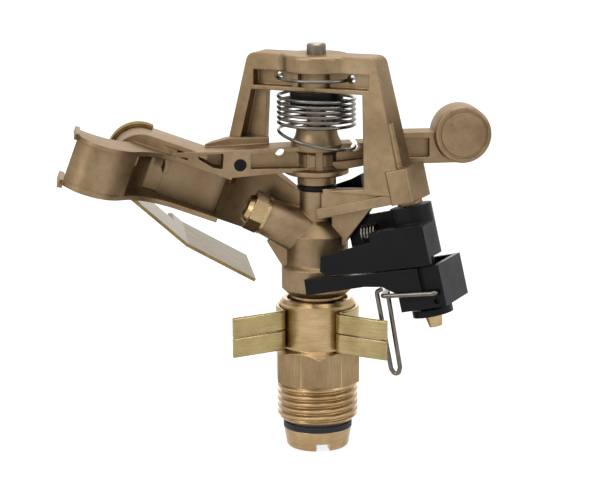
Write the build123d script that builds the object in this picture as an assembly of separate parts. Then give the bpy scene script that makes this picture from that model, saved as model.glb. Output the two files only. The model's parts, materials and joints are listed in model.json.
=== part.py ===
from build123d import *
import math
import os

# Brass impact sprinkler, half-inch male inlet, part-circle trip mechanism.
# Z is the riser axis. Levels are counted from the lower end of the inlet thread,
# and the parts are placed with Z = 0 at the shoulder above that thread.
# The impact arm lies along X with its spoon and the nozzle towards -X.
# Lengths in millimetres, angles in degrees.

# Inlet thread and bearing nipple
thread_major_d = 20.955
thread_length = 10.2
thread_chamfer = 1.3
hex_af = 21.0
hex_height = 9.6
hex_turn = 26.5
spigot_r = 9.7
spigot_edge = 0.9
hex_low_edge = 0.8
hex_high_edge = 1.7
spigot_height = 12.5
spring_chamber_r = 7.9
spring_chamber_depth = 10.0

# Bearing tube, its seals and the thrust spring
tube_r = 6.0
tube_bore_r = 4.6
running_fit = 0.05
flange_r = 8.9
flange_low_r = 8.1
flange_height = 5.2
flange_slot_w = 3.6
flange_slot_depth = 2.0
seal_r = 8.95
seal_height = 1.55
liner_height = 0.55
cover_r = 6.9
cover_height = 1.9
cover_skirt_r = 7.6
friction_ring_height = 0.8
thrust_wire_d = 1.1
thrust_turns = 5

# Trip collars
collar_wall = 1.1
collar_height = 5.15
collar_gap = 0.1
collar_grip = 0.05
ear_right = (15.3, -20.0)
ear_left = (-22.8, -12.6)
ear_root_right = -60.0
ear_root_left = 228.0
ear_bend_r = 1.9

# Body casting
body_low_r = 7.4
body_neck_r = 9.2
body_neck_chamfer = 1.7
body_neck_height = 7.4
barrel_r = 8.05
barrel_top = 49.2
boss_r = 4.35
boss_top = 60.7
shoulder_height = 3.8
tube_engagement = 8.0
water_bore_r = 4.8

# Nozzle branch and nozzle
branch_tilt = 26.0
branch_z = 47.6
branch_length = 14.8
branch_end_r = 4.9
branch_root_r = 6.2
branch_bore_r = 3.5
branch_rib = 2.6
nozzle_af = 9.2
nozzle_hex_length = 3.4
nozzle_ring_r = 5.1
nozzle_ring_length = 0.9
nozzle_tip_r = 3.3
nozzle_tip_length = 1.2
nozzle_bore_r = 2.1
nozzle_thread_length = 4.6
thread_clear = 0.05
vane_wall = 0.5
vane_length = 6.0

# Bridge of the body
bridge_turn = -30.0
bridge_top = 95.7
bridge_top_half = 17.5
bridge_top_depth = 7.4
bridge_crown = 0.9
bridge_corner = 2.4
bridge_boss_r = 8.4
bridge_blend = 4.0
leg_slope = 0.229
leg_foot_depth = 10.8
pocket_top = 91.4
pocket_floor = 87.4
ledge = 1.1
window_top_half = 13.4
window_low_half = 15.2
window_low = 62.2
web = 2.2
flange_left = 3.2
flange_right = 1.5
bar_depth = 10.4
foot_out = 29.5
spring_hole_r = 1.1
spring_hole_u = 10.1
spring_hole_z = 89.7

# Trip pivot on the right-hand leg
pivot_u = 26.5
pivot_off = -2.5
pivot_z = 60.0
pivot_tilt = 13.0
block_w = 6.0
block_front = -5.5
block_back = 7.6
block_height = 8.6
pivot_pin_r = 1.7
pivot_tip_r = 2.3

# Reversing lever, trip lever and wire
lever_gap = 0.3
tray_hub_r = 5.3
tray_height = 12.9
tray_wall = 1.6
tray_floor = 1.6
tray_front_q = -9.0
tray_reach = 24.0
tray_back_q = 4.6
tray_back_reach = 19.6
trip_reach = 29.0
trip_arm_t = 2.2
trip_arm_h = 4.2
trip_box_out = 7.2
trip_box_depth = 16.0
trip_arm_q = -trip_box_depth / 2 - 1.2
trip_box_height = 10.6
clip_r = 5.2
clip_height = 1.8
wire_d = 1.2
toggle_wire_d = 0.6
toggle_r = 2.3

# Fulcrum pin, bushes and washers
pin_r = 2.5
pin_top = 98.4
pin_seat = 56.0
pin_edge = 0.4
upper_bush_r = 6.85
upper_bush_height = 3.9
washer_r = 5.05
washer_height = 1.6

# Impact arm
arm_bore_r = 3.5
hub_ring_r = 5.0
hub_ring_height = 2.4
hub_disc_r = 8.2
hub_core_r = 5.0
hub_top_r = 5.25
hub_top = 76.7
plate_t = 1.5
arm_low = 64.9
arm_high = 72.7
arm_half = 4.5
arm_web_half = 1.5
tail_half = 3.4
tail_low = 67.5
tail_high = 75.4
disc_x = 37.2
disc_z = 74.7
disc_r = 7.35
disc_t = 8.9
disc_y = -0.5
disc_step_r = 6.3
disc_step = 0.7
arm_hole_x = 9.6
arm_hole_z = 70.8
tail_hole_z = 71.8
arm_hole_r = 1.3
bumper_x = -20.0
bumper_z = 68.1
bumper_r = 1.6
bumper_out = 0.9

# Spoon of the arm
spoon_tilt = 20.3
spoon_x = -22.1
spoon_z = 64.9
spoon_depth = 11.6
spoon_plate = 1.2
vane_t = 1.3
hood_x = -45.2
hood_z = 69.2
hood_r = 7.4
hood_wall = 1.2
hood_y0 = -4.0
hood_y1 = 12.0

# Deflector sheet
sheet_t = 0.8
sheet_gap = 0.1
sheet_y0 = -8.0
sheet_y1 = 21.5
sheet_bend = (-33.9, 48.5)
sheet_tip = (-16.8, 38.9)
strap_y0 = 7.6
strap_y1 = 12.0
strap_low = 60.5
wing_high = 51.2

# Arm spring
arm_spring_r = 9.8
arm_spring_wire = 0.85
arm_spring_turns = 5
arm_spring_pitch = 1.3

# Levels that follow from the sizes above
hex_low = thread_length
hex_high = hex_low + hex_height
spigot_top = hex_high + spigot_height
body_low = spigot_top + 1.0
neck_low = body_low + body_neck_chamfer
neck_high = neck_low + body_neck_height - body_neck_chamfer
hub_low = boss_top + washer_height


def rod(radius, low, high):
    """Upright cylinder on the riser axis between two levels."""
    centre = (low + high) / 2
    return Pos(0, 0, centre) * Cylinder(radius, high - low)


def block(x0, x1, y0, y1, z0, z1):
    """Box between two corners."""
    middle = Pos((x0 + x1) / 2, (y0 + y1) / 2, (z0 + z1) / 2)
    return middle * Box(x1 - x0, y1 - y0, z1 - z0)


def turned(points):
    """Solid of revolution about Z from (radius, level) corners."""
    profile = Plane.XZ * make_face(Polyline(*points, close=True))
    return revolve(profile, Axis.Z)


def upright(points, y0, y1, corner=0.0):
    """Plate with its outline in XZ, between two depths along Y."""
    outline = make_face(Polyline(*points, close=True))
    if corner > 0:
        outline = fillet(outline.vertices(), corner)
    return extrude(Plane((0, y0, 0), x_dir=(1, 0, 0), z_dir=(0, -1, 0)) * outline, -(y1 - y0))


def flat(points, z0, z1, corner=0.0):
    """Plate with its outline in XY, between two levels."""
    outline = make_face(Polyline(*points, close=True))
    if corner > 0:
        outline = fillet(outline.vertices(), corner)
    return extrude(Pos(0, 0, z0) * outline, z1 - z0)


def hexagon(across_flats, low, high, turn=0.0):
    """Hexagonal bar on the riser axis."""
    outline = RegularPolygon(across_flats / 2, 6, major_radius=False, rotation=turn)
    return extrude(Pos(0, 0, low) * outline, high - low)


def half_turns(radius, levels, hand=1):
    """Half turns about Z that climb from +X through the given levels."""
    path = []
    side = 1
    for low, high in zip(levels[:-1], levels[1:]):
        ends = ((side * radius, 0, low), (-side * radius, 0, high))
        middle = (0, hand * side * radius, (low + high) / 2)
        path.append(ThreePointArc(ends[0], middle, ends[1]))
        side = -side
    return path


def coil(radius, wire, levels, hand=1, lead=None):
    """Round wire wound in half turns, with an optional lead-in piece."""
    path = half_turns(radius, levels, hand)
    if lead is not None:
        path = [lead] + path
    line = Wire(path)
    profile = Plane(line @ 0, z_dir=line % 0) * Circle(wire / 2)
    return sweep(profile, path=line)


def bent_wire(points, radii, diameter):
    """Round wire along straight runs joined by tangent arcs."""
    line = FilletPolyline(*points, radius=radii)
    profile = Plane(line @ 0, z_dir=line % 0) * Circle(diameter / 2)
    return sweep(profile, path=line)


def in_bridge(shape):
    """Turn a shape drawn with X across the bridge into the frame."""
    return Rot(0, 0, bridge_turn) * shape


def at_pivot(shape):
    """Place a shape drawn about the trip pivot, Z up along the pivot pin."""
    return in_bridge(Pos(pivot_u, pivot_off, pivot_z) * Rot(0, -pivot_tilt, 0) * shape)


def along_branch(shape):
    """Place a shape drawn along Z onto the nozzle branch."""
    return Pos(0, 0, branch_z) * Rot(0, branch_tilt - 90, 0) * shape


def in_spoon(shape):
    """Place a shape drawn level, X towards the hub, onto the tilted spoon."""
    return Pos(spoon_x, 0, spoon_z) * Rot(0, spoon_tilt, 0) * shape


def bearing_nipple():
    thread_r = thread_major_d / 2
    thread = turned([(0, 0), (thread_r - thread_chamfer, 0), (thread_r, thread_chamfer),
                     (thread_r, hex_low + 1.6), (0, hex_low + 1.6)])
    bar = hexagon(hex_af, hex_low, hex_high, hex_turn)
    corner_r = hex_af / 2 / math.cos(math.radians(30))
    turned_off = turned([(0, hex_low), (thread_r, hex_low), (corner_r, hex_low + hex_low_edge),
                         (corner_r, hex_high - hex_high_edge), (spigot_r, hex_high), (0, hex_high)])
    spigot = turned([(0, hex_high - 1), (spigot_r, hex_high - 1), (spigot_r, spigot_top - spigot_edge),
                     (spigot_r - spigot_edge, spigot_top), (0, spigot_top)])
    nipple = thread + (bar & turned_off) + spigot
    bore = rod(tube_r + running_fit, -1, spigot_top + 1)
    chamber = rod(spring_chamber_r, spigot_top - spring_chamber_depth, spigot_top + 1)
    return nipple - bore - chamber


def bearing_tube():
    low = -seal_height - liner_height
    flange = turned([(tube_bore_r, low - flange_height), (flange_low_r - 0.4, low - flange_height),
                     (flange_low_r, low - flange_height + 0.5), (flange_r, low), (tube_bore_r, low)])
    shank = rod(tube_r, low - 0.5, body_low + tube_engagement) - rod(tube_bore_r, low - 9, 60)
    slot = block(-flange_slot_w / 2, flange_slot_w / 2, -20, 20,
                 low - flange_height - 1, low - flange_height + flange_slot_depth)
    return flange + shank - Rot(0, 0, 4) * slot


def tube_ring(outer, low, high):
    """Loose ring around the bearing tube."""
    return rod(outer, low, high) - rod(tube_r + running_fit, low - 1, high + 1)


def spring_cover():
    low = body_low - cover_height
    cap = rod(cover_r, low, body_low)
    skirt = rod(cover_skirt_r, low - 1.2, low)
    return cap + skirt - rod(tube_r + running_fit, low - 3, body_low + 1)


def thrust_spring():
    low = spigot_top - spring_chamber_depth + friction_ring_height + thrust_wire_d / 2
    high = body_low - cover_height - 1.2 - thrust_wire_d / 2
    radius = (tube_r + spring_chamber_r) / 2
    count = 2 * thrust_turns
    levels = [low + (high - low) * i / count for i in range(count + 1)]
    return coil(radius, thrust_wire_d, levels)


def ear_path(root, tip, middle_r, hand):
    """Outward bend from the band at an angle, and the straight ear to its tip."""
    turn = math.radians(root)
    out = (math.cos(turn), math.sin(turn))
    touch = (middle_r * out[0], middle_r * out[1])
    centre = ((middle_r + ear_bend_r) * out[0], (middle_r + ear_bend_r) * out[1])
    away = (tip[0] - centre[0], tip[1] - centre[1])
    heading = math.atan2(away[1], away[0])
    leave = heading + hand * math.acos(ear_bend_r / math.hypot(*away))
    start = (centre[0] + ear_bend_r * math.cos(leave), centre[1] + ear_bend_r * math.sin(leave))
    inward = turn + math.pi
    sweep_by = (leave - inward + math.pi) % (2 * math.pi) - math.pi
    half = inward + sweep_by / 2
    middle = (centre[0] + ear_bend_r * math.cos(half), centre[1] + ear_bend_r * math.sin(half))
    return touch, [ThreePointArc(touch, middle, start), Line(start, tip)]


def trip_collar(level):
    """Open spring band around the spigot with an ear bent out at each end."""
    middle_r = spigot_r + collar_grip + collar_wall / 2
    right, right_ear = ear_path(ear_root_right, ear_right, middle_r, -1)
    left, left_ear = ear_path(ear_root_left, ear_left, middle_r, 1)
    band = ThreePointArc(right, (0, middle_r), left)
    strip = trace(band, collar_wall)
    for piece in right_ear + left_ear:
        strip = strip + trace(piece, collar_wall)
    band_solid = extrude(Pos(0, 0, level) * strip, collar_height)
    return band_solid - rod(spigot_r + collar_grip, level - 1, level + collar_height + 1)


def body_core():
    """Turned part of the body: neck, barrel, shoulder and boss."""
    return turned([(0, body_low), (body_low_r, body_low), (body_neck_r, neck_low),
                   (body_neck_r, neck_high), (barrel_r, neck_high + 0.8), (barrel_r, barrel_top),
                   (boss_r, barrel_top + shoulder_height), (boss_r, boss_top), (0, boss_top)])


def body_branch():
    """Tapered nozzle branch with its rib below."""
    cone = along_branch(Pos(0, 0, branch_length / 2) * Cone(branch_root_r, branch_end_r, branch_length))
    rib = upright([(-7.0, neck_high - 3), (-9.0, neck_high), (-12.9, 47.2), (-10, 52), (-4, 50)],
                  -branch_rib / 2, branch_rib / 2)
    return cone + rib


def leg_u(level):
    """Outer half width of the bridge at a level."""
    return bridge_top_half + leg_slope * (bridge_top - level)


def bridge_blank():
    """Bridge outline between its front and back faces, with depth that grows downwards."""
    low = window_low - 1
    outline = make_face(Polyline((-leg_u(bridge_top), bridge_top), (leg_u(bridge_top), bridge_top),
                                 (leg_u(low), low), (-leg_u(low), low), close=True))
    outline = fillet(outline.vertices().group_by(Axis.Y)[-1], bridge_corner)
    blank = extrude(Plane((0, -8, 0), x_dir=(1, 0, 0), z_dir=(0, -1, 0)) * outline, -16)
    top_half = bridge_top_depth / 2
    foot_half = leg_foot_depth / 2
    wedge = Plane.YZ * make_face(Polyline((-top_half, bridge_top), (top_half, bridge_top), (foot_half, low),
                                          (-foot_half, low), close=True))
    return blank & extrude(wedge, 40, both=True)


def bridge_window():
    """Opening between the legs, down to the boss."""
    return [(-window_top_half, pocket_floor - ledge), (window_top_half + 0.9, pocket_floor - ledge),
            (window_low_half, window_low + 0.3), (washer_r + 0.7, window_low - 0.6),
            (washer_r + 0.7, boss_top), (-washer_r - 0.7, boss_top), (-10.6, 64.0), (-14.4, 66.8)]


def bridge_recesses():
    """Cuts that leave the flanges and the thin web of the legs."""
    low = window_low - 3
    high = pocket_floor - ledge
    inner = window_top_half
    left_in = [(-leg_u(high) + flange_left, high), (-5, high), (-5, low), (-leg_u(low) + flange_left, low)]
    right_in = [(leg_u(high) - flange_right, high), (5, high), (5, low), (leg_u(low) - flange_right, low)]
    left_back = upright(left_in, web / 2, 9)
    left_front = upright(left_in, -9, -web / 2)
    right_back = upright(right_in, -2.0, 9)
    reach = leg_u(pocket_top) - 2.6
    pocket = [(-reach, pocket_floor), (-reach, pocket_top), (reach, pocket_top), (reach, pocket_floor)]
    boss = rod(boss_r, pocket_floor - 2, pocket_top + 1)
    front = upright(pocket, -9, -web / 2) - boss
    back = upright(pocket, web / 2, 9) - boss
    return left_back + left_front + right_back + front + back


def bridge_cap():
    """Flat top of the bridge with the wide boss around the pin."""
    half = leg_u(bridge_top) - bridge_corner
    bar = Rectangle(2 * half, bridge_top_depth)
    plan = bar + Circle(bridge_boss_r)
    corners = [v for v in plan.vertices() if abs(v.X) < bridge_boss_r]
    plan = fillet(corners, bridge_blend)
    cap = extrude(Pos(0, 0, pocket_top) * plan, bridge_top - pocket_top)
    curved = [e for e in cap.edges().group_by(Axis.Z)[-1] if e.geom_type != GeomType.LINE]
    return fillet(curved, bridge_crown)


def cross_bar():
    """Lower flange from the barrel to the foot of the right-hand leg."""
    bar = upright([(2, 53.7), (23.4, 59.3), (23.0, 61.8), (2, 56.5)], -bar_depth / 2, bar_depth / 2)
    wall = upright([(3, 55), (24, 60), (24.5, 67), (window_low_half, window_low + 0.3),
                    (3, window_low - 0.6)], -2.0 - web, -2.0)
    wall = wall - rod(washer_r + lever_gap, boss_top - 0.2, boss_top + 10)
    gusset = upright([(5, 47), (barrel_r, 47), (16.5, 58), (5, 56)], -2.0, -0.1)
    return bar + wall + gusset


def left_foot():
    """Wide web that carries the left-hand leg down to the barrel."""
    slope_low = 64.5
    outline = [(-3, 48), (-9, 46.6), (-21.9, 49.7), (-foot_out, 51.5), (-foot_out, 62.2),
               (-leg_u(slope_low), slope_low), (-leg_u(slope_low) + 3, slope_low + 2),
               (-14.4, 66.8), (-10.6, 64.0), (-washer_r - 0.7, boss_top), (-3, boss_top - 1)]
    return upright(outline, -1.5, 1.5)


def pivot_block():
    """Block at the foot of the right-hand leg that holds the trip pivot."""
    body = block(-block_w / 2, block_w / 2, block_front, block_back, 0, block_height)
    body = fillet(body.edges().filter_by(Axis.Z), 0.8)
    collar = Pos(0, 0, -0.4) * Cylinder(3.2, 1.0)
    return at_pivot(body + collar)


def sprinkler_body():
    bridge = bridge_blank() - upright(bridge_window(), -9, 9) - bridge_recesses()
    ledge_boss = rod(boss_r, pocket_floor - ledge, pocket_top + 0.5)
    rib = block(-5.3, -3.6, -bridge_top_depth / 2 + 0.3, 0, pocket_floor - ledge, pocket_top + 0.5)
    bridge = bridge + bridge_cap() + ledge_boss + rib + cross_bar() + left_foot()
    for side in (-1, 1):
        hole = Pos(side * spring_hole_u, 0, spring_hole_z) * Rot(90, 0, 0)
        bridge = bridge - hole * Cylinder(spring_hole_r, 6)
    body = body_core() + body_branch() + in_bridge(bridge) + pivot_block()
    body = body - rod(tube_r + running_fit, body_low - 1, body_low + tube_engagement)
    body = body - rod(water_bore_r, body_low, barrel_top)
    body = body - along_branch(Pos(0, 0, 12) * Cylinder(branch_bore_r, 24))
    body = body - rod(pin_r, pin_seat, pin_top)
    return body - at_pivot(Pos(0, 0, 0) * Cylinder(pivot_pin_r + running_fit, 40))


def nozzle():
    start = branch_length
    ring = Pos(0, 0, start + nozzle_ring_length / 2) * Cylinder(nozzle_ring_r, nozzle_ring_length)
    hex_low_end = start + nozzle_ring_length
    bar = extrude(Pos(0, 0, hex_low_end) * RegularPolygon(nozzle_af / 2, 6, major_radius=False, rotation=12),
                  nozzle_hex_length)
    tip_end = hex_low_end + nozzle_hex_length + nozzle_tip_length
    tip_cone = Cone(nozzle_tip_r + 0.6, nozzle_tip_r, nozzle_tip_length)
    tip = Pos(0, 0, tip_end - nozzle_tip_length / 2) * tip_cone
    shank_r = branch_bore_r - thread_clear
    shank = Pos(0, 0, start - nozzle_thread_length / 2) * Cylinder(shank_r, nozzle_thread_length)
    bore = Pos(0, 0, start) * Cylinder(nozzle_bore_r, 30)
    inlet = Pos(0, 0, start - nozzle_thread_length + 1) * Cone(3.1, nozzle_bore_r, 2.2)
    return along_branch(ring + bar + tip + shank - bore - inlet)


def stream_straightener():
    """Thin cross of vanes that calms the water ahead of the nozzle."""
    middle = branch_length - nozzle_thread_length - 0.2 - vane_length / 2
    reach = 2 * (branch_bore_r - thread_clear)
    first = Box(reach, vane_wall, vane_length)
    second = Box(vane_wall, reach, vane_length)
    ring = Cylinder(branch_bore_r - thread_clear, vane_length)
    return along_branch(Pos(0, 0, middle) * ((first + second) & ring))


def fulcrum_pin():
    return turned([(0, pin_seat), (pin_r, pin_seat), (pin_r, pin_top - pin_edge),
                   (pin_r - pin_edge, pin_top), (0, pin_top)])


def upper_bush():
    high = pocket_floor - ledge
    low = high - upper_bush_height
    bush = turned([(0, low), (upper_bush_r - 0.3, low), (upper_bush_r, low + 0.3), (upper_bush_r, high - 0.3),
                   (upper_bush_r - 0.3, high), (0, high)])
    return bush - rod(pin_r + running_fit, low - 1, high + 1)


def lower_washer():
    edge = 0.4
    ring = turned([(0, boss_top), (washer_r - edge, boss_top), (washer_r, boss_top + edge),
                   (washer_r, hub_low - edge), (washer_r - edge, hub_low), (0, hub_low)])
    return ring - rod(pin_r + running_fit, boss_top - 1, hub_low + 1)


def arm_hub():
    """Spool-shaped hub that turns on the fulcrum pin."""
    ring_top = hub_low + hub_ring_height
    spool = turned([(0, hub_low), (hub_ring_r, hub_low), (hub_ring_r, ring_top), (hub_disc_r - 1, ring_top),
                    (hub_disc_r, ring_top + 0.4), (hub_disc_r, ring_top + plate_t),
                    (hub_core_r + 0.8, ring_top + plate_t + 0.3), (hub_core_r, ring_top + plate_t + 1.2),
                    (hub_core_r, arm_high - plate_t - 1.0), (hub_core_r + 1, arm_high - plate_t),
                    (hub_top_r + 1.5, arm_high - plate_t), (hub_top_r + 1.5, arm_high),
                    (hub_top_r + 0.9, arm_high + 0.8), (hub_top_r + 0.3, arm_high + 2.0),
                    (hub_top_r, hub_top - 0.6), (hub_top_r, hub_top), (0, hub_top)])
    ribs = block(-0.9, 0.9, -hub_core_r - 0.9, hub_core_r + 0.9, ring_top + 1, arm_high - 1)
    return spool + ribs


def arm_beam():
    """Left-hand half of the arm, with recesses and the holes for bumper and drive."""
    outline = [(0, arm_high), (-28, arm_high - 1.0), (-37, arm_high - 1.0), (-37.5, arm_high - 2),
               (spoon_x, arm_low), (-8.5, arm_low + 1.0), (0, arm_low)]
    beam = upright(outline, -arm_half, arm_half)
    pocket = [(-17.3, arm_low + 2.1), (-17.3, arm_high - 1.8), (-3, arm_high - 1.3), (-3, arm_low + 2.1)]
    beam = beam - upright(pocket, -9, -arm_web_half) - upright(pocket, arm_web_half, 9)
    drive = [(-30.8, arm_high - 1.9), (-24.2, arm_high - 1.5), (-24.5, arm_low + 2.2), (-26.9, arm_low + 2.7),
             (-30.4, arm_high - 2.9)]
    beam = beam - upright(drive, -9, arm_web_half, 0.4)
    notch = [(-33.4, arm_high - 2.4), (-36.6, arm_high - 2.2), (-33.0, arm_high - 3.9)]
    return beam - upright(notch, -9, -arm_half + 1.2)


def striking_pad():
    """Raised pad on the back of the arm that meets the left-hand leg."""
    plan = [(-11.9, arm_half - 1), (-11.9, 5.0), (-17.2, 7.2), (-18.9, 4.9), (-22.6, 6.6), (-26.5, 5.8),
            (-28.5, arm_half - 1)]
    pad = flat(plan, arm_high - 3.2, arm_high + 1.2)
    sloped = upright([(-30, arm_high - 4), (-30, arm_high - 0.6), (-22, arm_high + 1.2),
                      (-11, arm_high + 1.2), (-11, arm_high - 4)], 0, 20)
    return pad & sloped


def arm_tail():
    """Right-hand half of the arm out to the counterweight disc."""
    outline = [(0, arm_high), (14, arm_high + 0.3), (21, tail_high), (disc_x, tail_high),
               (disc_x, tail_low - 0.1), (13, tail_low - 0.2), (5, arm_low + 1.1), (0, arm_low)]
    tail = upright(outline, -tail_half, tail_half)
    near = [(3, arm_low + 3.4), (3, arm_high - 1.6), (13.5, arm_high - 1.2), (13.5, tail_low + 1.6),
            (6, arm_low + 3.4)]
    far = [(16.5, tail_low + 1.5), (16.5, arm_high - 0.8), (21.8, tail_high - 1.5), (28.6, tail_high - 1.5),
           (28.6, tail_low + 1.5)]
    for recess in (near, far):
        tail = tail - upright(recess, -9, -arm_web_half) - upright(recess, arm_web_half, 9)
    disc = Pos(disc_x, disc_y, disc_z) * Rot(90, 0, 0) * Cylinder(disc_r, disc_t)
    disc = fillet(disc.edges().filter_by(GeomType.CIRCLE), 0.6)
    face_y = disc_y - disc_t / 2
    groove = Pos(disc_x, face_y, disc_z) * Rot(90, 0, 0)
    ring = groove * (Cylinder(disc_step_r, disc_step) - Cylinder(disc_step_r - 0.6, disc_step + 1))
    return tail + disc - ring


def spoon_outline():
    """Plan of the spoon plates: X towards the hub, Y away from the open front."""
    front = Spline((-11, -4.5), (-17, -6.6), (-24, -14.6), (-29.5, -24.5), (-34.5, -28.0), (-41.4, -24.0))
    end = Line((-41.4, -24.0), (-41.8, -14.2))
    back = Spline((-41.8, -14.2), (-34, -13.8), (-28.6, -8.0), (-24.6, 0.0), (-21, 3.8), (-16, 5.0))
    close = Polyline((-16, 5.0), (0, 5.0), (0, -4.5), (-11, -4.5))
    return make_face([front, end, back, close])


def spoon_vane():
    """Curved vane between the plates near the open end of the spoon."""
    outer = Spline((-25.6, -17.5), (-28.6, -23.0), (-34.5, -27.2), (-41.2, -23.3))
    shifted = Spline((-41.2, -23.3 + vane_t), (-34.5, -27.2 + vane_t + 0.2), (-29.6, -22.4),
                     (-26.7, -17.1))
    left = Line((-41.2, -23.3), (-41.2, -23.3 + vane_t))
    right = Line((-26.7, -17.1), (-25.6, -17.5))
    return make_face([outer, left, shifted, right])


def spoon_back():
    """Thin wall along the back edge of the plates, behind the curved vane."""
    outer = Spline((-30.0, -11.1), (-28.2, -8.3), (-24.2, -0.3), (-20.7, 3.3), (-15.5, 4.5))
    inner = Spline((-28.9, -11.9), (-27.1, -9.0), (-23.1, -1.0), (-20.1, 2.2), (-15.5, 3.1))
    return make_face([outer, inner, Line(outer @ 0, inner @ 0), Line(outer @ 1, inner @ 1)])


def spoon():
    """Tilted water channel: two plates, a back wall, the curved vane and the end lips."""
    plan = spoon_outline()
    top = extrude(Pos(0, 0, -spoon_plate / 2) * plan, spoon_plate)
    bottom = extrude(Pos(0, 0, -spoon_depth - spoon_plate / 2) * plan, spoon_plate)
    wall = block(-16.0, -0.2, 2.2, 5.0, -spoon_depth, 0)
    wall = wall + extrude(Pos(0, 0, -spoon_depth) * spoon_back(), spoon_depth)
    vane = extrude(Pos(0, 0, -spoon_depth) * spoon_vane(), spoon_depth)
    lip_high = flat([(-41.0, -24.2), (-42.6, -25.2), (-42.6, -12.5), (-41.0, -12.5)], -spoon_plate / 2, 1.3)
    lip_low = flat([(-41.0, -24.2), (-42.6, -25.2), (-42.6, -12.5), (-41.0, -12.5)],
                   -spoon_depth - 1.4, -spoon_depth + spoon_plate / 2)
    root = block(-3.0, -0.2, -4.5, 4.5, -4.0, 0.4)
    return in_spoon(top + bottom + wall + vane + lip_high + lip_low + root)


def hood():
    """Half-round cover behind the spoon, open below."""
    arch = Pos(hood_x, (hood_y0 + hood_y1) / 2, hood_z) * Rot(90, 0, 0)
    shell = arch * (Cylinder(hood_r, hood_y1 - hood_y0) - Cylinder(hood_r - hood_wall, 40))
    lean = math.radians(spoon_tilt)
    reach = 30
    down = (math.sin(lean) * reach, -math.cos(lean) * reach)
    across = (math.cos(lean) * reach, math.sin(lean) * reach)
    keep = upright([(hood_x - across[0], hood_z + across[1] * 0.6), (hood_x - 20, hood_z + 30),
                    (hood_x + 20, hood_z + 30), (hood_x + across[0], hood_z - across[1]),
                    (hood_x, hood_z - 1)], hood_y0 - 1, hood_y1 + 1)
    start = (hood_x + hood_r * math.sin(lean), hood_z + hood_r * math.cos(lean))
    run = 15.5
    stop = (start[0] + run * math.cos(lean), start[1] - run * math.sin(lean))
    inner = (start[0] - hood_wall * math.sin(lean), start[1] - hood_wall * math.cos(lean))
    inner_stop = (stop[0] - hood_wall * math.sin(lean), stop[1] - hood_wall * math.cos(lean))
    roof = upright([start, stop, inner_stop, inner], hood_y0, hood_y1)
    web = arch * (Pos(0, 0, (hood_y1 - hood_y0 - hood_wall) / 2) * Cylinder(hood_r - 0.1, hood_wall))
    return (shell & keep) + roof + (web & keep)


def impact_arm():
    arm = arm_hub() + arm_beam() + striking_pad() + arm_tail() + spoon() + hood()
    arm = arm - rod(arm_bore_r, hub_low - 1, hub_top + 1)
    for x, z in ((-arm_hole_x, arm_hole_z), (arm_hole_x, tail_hole_z)):
        arm = arm - Pos(x, 0, z) * Rot(90, 0, 0) * Cylinder(arm_hole_r, 12)
    return arm - Pos(bumper_x, 0, bumper_z) * Rot(90, 0, 0) * Cylinder(bumper_r, 30)


def arm_bushing():
    outer = arm_bore_r
    bush = rod(outer, hub_low, hub_top + 0.6)
    return bush - rod(pin_r + running_fit, hub_low - 1, hub_top + 2)


def arm_bumper():
    """Rubber plug through the arm; its head meets the left-hand leg."""
    tip_y = arm_half + bumper_out
    plug = Rot(90, 0, 0) * Cylinder(bumper_r, tip_y + arm_half)
    return Pos(bumper_x, (tip_y - arm_half) / 2, bumper_z) * plug


def deflector_sheet():
    """Polished sheet wrapped over the hood and led away below the spoon."""
    inner = hood_r + sheet_gap
    outer = inner + sheet_t
    bend_x, bend_z = sheet_bend
    tip_x, tip_z = sheet_tip
    reach = math.hypot(bend_x - hood_x, bend_z - hood_z)
    middle = (inner + outer) / 2
    heading = math.atan2(bend_z - hood_z, bend_x - hood_x)
    touch = heading - math.acos(middle / reach)
    start = math.radians(62)
    top = (hood_x + middle * math.cos(start), hood_z + middle * math.sin(start))
    side = (hood_x - middle, hood_z)
    low = (hood_x + middle * math.cos(touch), hood_z + middle * math.sin(touch))
    wrap = ThreePointArc(top, side, low)
    run = Line(low, sheet_bend)
    blade = Line(sheet_bend, sheet_tip)
    strip = trace(wrap, sheet_t) + trace(run, sheet_t) + trace(blade, sheet_t)
    strip = strip + Pos(*low) * Circle(sheet_t / 2) + Pos(*sheet_bend) * Circle(sheet_t / 2)
    plane = Plane((0, sheet_y0, 0), x_dir=(1, 0, 0), z_dir=(0, -1, 0))
    sheet = extrude(plane * strip, -(sheet_y1 - sheet_y0))
    front = block(-60, -30, sheet_y0 - 1, strap_y0, strap_low, 90)
    back = block(-60, -30, strap_y1, sheet_y1 + 1, wing_high, 90)
    return sheet - front - back


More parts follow.
